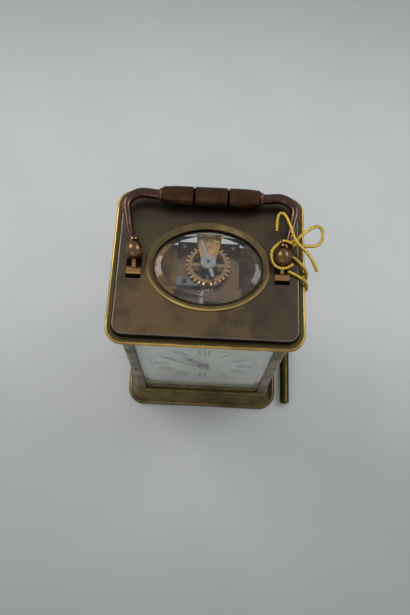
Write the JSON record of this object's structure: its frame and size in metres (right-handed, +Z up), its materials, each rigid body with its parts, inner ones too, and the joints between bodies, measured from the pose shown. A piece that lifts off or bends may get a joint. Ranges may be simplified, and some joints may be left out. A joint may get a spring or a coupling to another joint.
{
  "type": "carriage clock",
  "caption": "Glazed brass carriage clock with folding handle, rear door, oval top glass over a lever platform, gear train, moon hands and a loose winding key",
  "frame": {"origin": "centre of the base's flat underside", "axes": "+Z up, the dial faces -Y, +X to the viewer's right"},
  "size_m": [0.0997, 0.077, 0.1319],
  "materials": {
    "patinated_brass": "worn brown patina",
    "case_brass": "worn polish",
    "bronze": "dark patina",
    "clear_glass": "polished, bevelled",
    "enamel": "fired enamel",
    "movement_brass": "satin",
    "copper_gilt": "gilt",
    "silvered_brass": "silvered, satin",
    "steel": "polished",
    "spring_steel": "blued",
    "blued_steel": "blued",
    "gold_cord": "metallic twisted cord"
  },
  "bodies": {
    "case": {"base_plinth": "patinated_brass", "base_screws": "steel", "front_pillars": "case_brass", "rear_pillars": "case_brass", "cornice_top": "patinated_brass", "oval_bezel": "case_brass", "top_glass": "clear_glass", "front_glass": "clear_glass", "side_glasses": "clear_glass", "hinge_pins": "case_brass", "dial": "enamel", "front_plate": "movement_brass", "back_plate": "movement_brass", "movement_pillars": "movement_brass", "click_spring": "steel", "platform": "silvered_brass", "platform_screws": "steel", "escape_potence": "movement_brass", "escape_cock": "silvered_brass", "lever_cock": "silvered_brass", "balance_cock": "copper_gilt", "endstone_cap": "steel", "bow_strands": "gold_cord"},
    "handle": {"handle_arm_left": "bronze", "handle_arm_right": "bronze", "handle_grip": "bronze", "grip_collars": "case_brass", "bow_knot": "gold_cord", "bow_loop": "gold_cord", "bow_tail": "gold_cord"},
    "door": {"door_frame": "case_brass", "door_glass": "clear_glass", "door_knob": "case_brass"},
    "winding": {"winding_arbor": "steel", "ratchet_wheel": "steel"},
    "click": {"click": "steel"},
    "escape": {"escape_wheel": "steel", "escape_arbor": "steel"},
    "contrate": {"contrate_wheel": "movement_brass", "contrate_arbor": "steel"},
    "third": {"third_wheel": "movement_brass", "third_arbor": "steel"},
    "centre": {"centre_wheel": "movement_brass"},
    "intermediate": {"intermediate_wheel": "movement_brass", "intermediate_arbor": "steel"},
    "barrel": {"barrel": "movement_brass", "barrel_cap": "movement_brass", "mainspring": "spring_steel"},
    "lever": {"lever": "steel"},
    "balance": {"balance_wheel": "copper_gilt", "timing_screws": "movement_brass", "balance_staff": "steel", "hairspring": "spring_steel"},
    "minute": {"minute_arbor": "steel", "minute_hand": "blued_steel"},
    "motion": {"minute_wheel": "movement_brass"},
    "hour": {"hour_wheel": "movement_brass", "hour_hand": "blued_steel"},
    "index": {"regulator_index": "steel"},
    "key": {"winding_key": "bronze"}
  },
  "joints": [
    {"name": "handle_fold", "type": "hinge", "parent": "case", "child": "handle", "pos_m": [0, -0.0045, 0.1212], "axis": [1, 0, 0], "range_deg": [0, 90]},
    {"name": "door_swing", "type": "hinge", "parent": "case", "child": "door", "pos_m": [-0.03, 0.0294, 0.063], "axis": [0, 0, 1], "range_deg": [0, 95]},
    {"name": "winding_turn", "type": "hinge", "parent": "case", "child": "winding", "pos_m": [-0.0044, 0, 0.03973], "axis": [0, 1, 0], "continuous": true},
    {"name": "click_lift", "type": "hinge", "parent": "case", "child": "click", "pos_m": [0.0089, 0.0192, 0.04893], "axis": [0, 1, 0], "range_deg": [0, 8], "stiffness_Nm_per_rad": 0.002},
    {"name": "escape_spin", "type": "hinge", "parent": "case", "child": "escape", "pos_m": [0, -0.01025, 0.105], "axis": [0, 0, 1], "continuous": true},
    {"name": "contrate_spin", "type": "hinge", "parent": "case", "child": "contrate", "pos_m": [0, 0, 0.0915], "axis": [0, 1, 0], "continuous": true},
    {"name": "third_spin", "type": "hinge", "parent": "case", "child": "third", "pos_m": [0.00394, 0, 0.07672], "axis": [0, 1, 0], "continuous": true},
    {"name": "centre_spin", "type": "hinge", "parent": "case", "child": "centre", "pos_m": [0, 0, 0.061], "axis": [0, 1, 0], "continuous": true},
    {"name": "intermediate_spin", "type": "hinge", "parent": "case", "child": "intermediate", "pos_m": [0.01379, 0, 0.05023], "axis": [0, 1, 0], "continuous": true},
    {"name": "barrel_spin", "type": "hinge", "parent": "case", "child": "barrel", "pos_m": [-0.0044, 0, 0.03973], "axis": [0, 1, 0], "continuous": true},
    {"name": "lever_rock", "type": "hinge", "parent": "case", "child": "lever", "pos_m": [0, -0.00525, 0.11], "axis": [0, 0, 1], "range_deg": [-6, 6]},
    {"name": "balance_swing", "type": "hinge", "parent": "case", "child": "balance", "pos_m": [0, 0.0032, 0.113], "axis": [0, 0, 1], "range_deg": [-220, 220], "stiffness_Nm_per_rad": 0.000025, "deforming": ["hairspring"]},
    {"name": "minute_turn", "type": "hinge", "parent": "case", "child": "minute", "pos_m": [0, 0, 0.061], "axis": [0, 1, 0], "continuous": true},
    {"name": "motion_turn", "type": "hinge", "parent": "case", "child": "motion", "pos_m": [0.006, 0, 0.05061], "axis": [0, 1, 0], "continuous": true},
    {"name": "hour_turn", "type": "hinge", "parent": "case", "child": "hour", "pos_m": [0, 0, 0.061], "axis": [0, 1, 0], "continuous": true},
    {"name": "index_set", "type": "hinge", "parent": "case", "child": "index", "pos_m": [0, 0.0032, 0.1164], "axis": [0, 0, 1], "range_deg": [-15, 15]},
    {"name": "key_lift", "type": "slide", "parent": "case", "child": "key", "axis": [0, 0, 1], "range_m": [0, 0.06]}
  ],
  "couplings": [
    {"joint": "escape_spin", "follows": "contrate_spin", "ratio": 10},
    {"joint": "third_spin", "follows": "contrate_spin", "ratio": -0.13333},
    {"joint": "centre_spin", "follows": "contrate_spin", "ratio": 0.016667},
    {"joint": "intermediate_spin", "follows": "contrate_spin", "ratio": -0.0027778},
    {"joint": "barrel_spin", "follows": "contrate_spin", "ratio": 0.00046296},
    {"joint": "motion_turn", "follows": "minute_turn", "ratio": -0.33333},
    {"joint": "hour_turn", "follows": "minute_turn", "ratio": 0.083333}
  ]
}
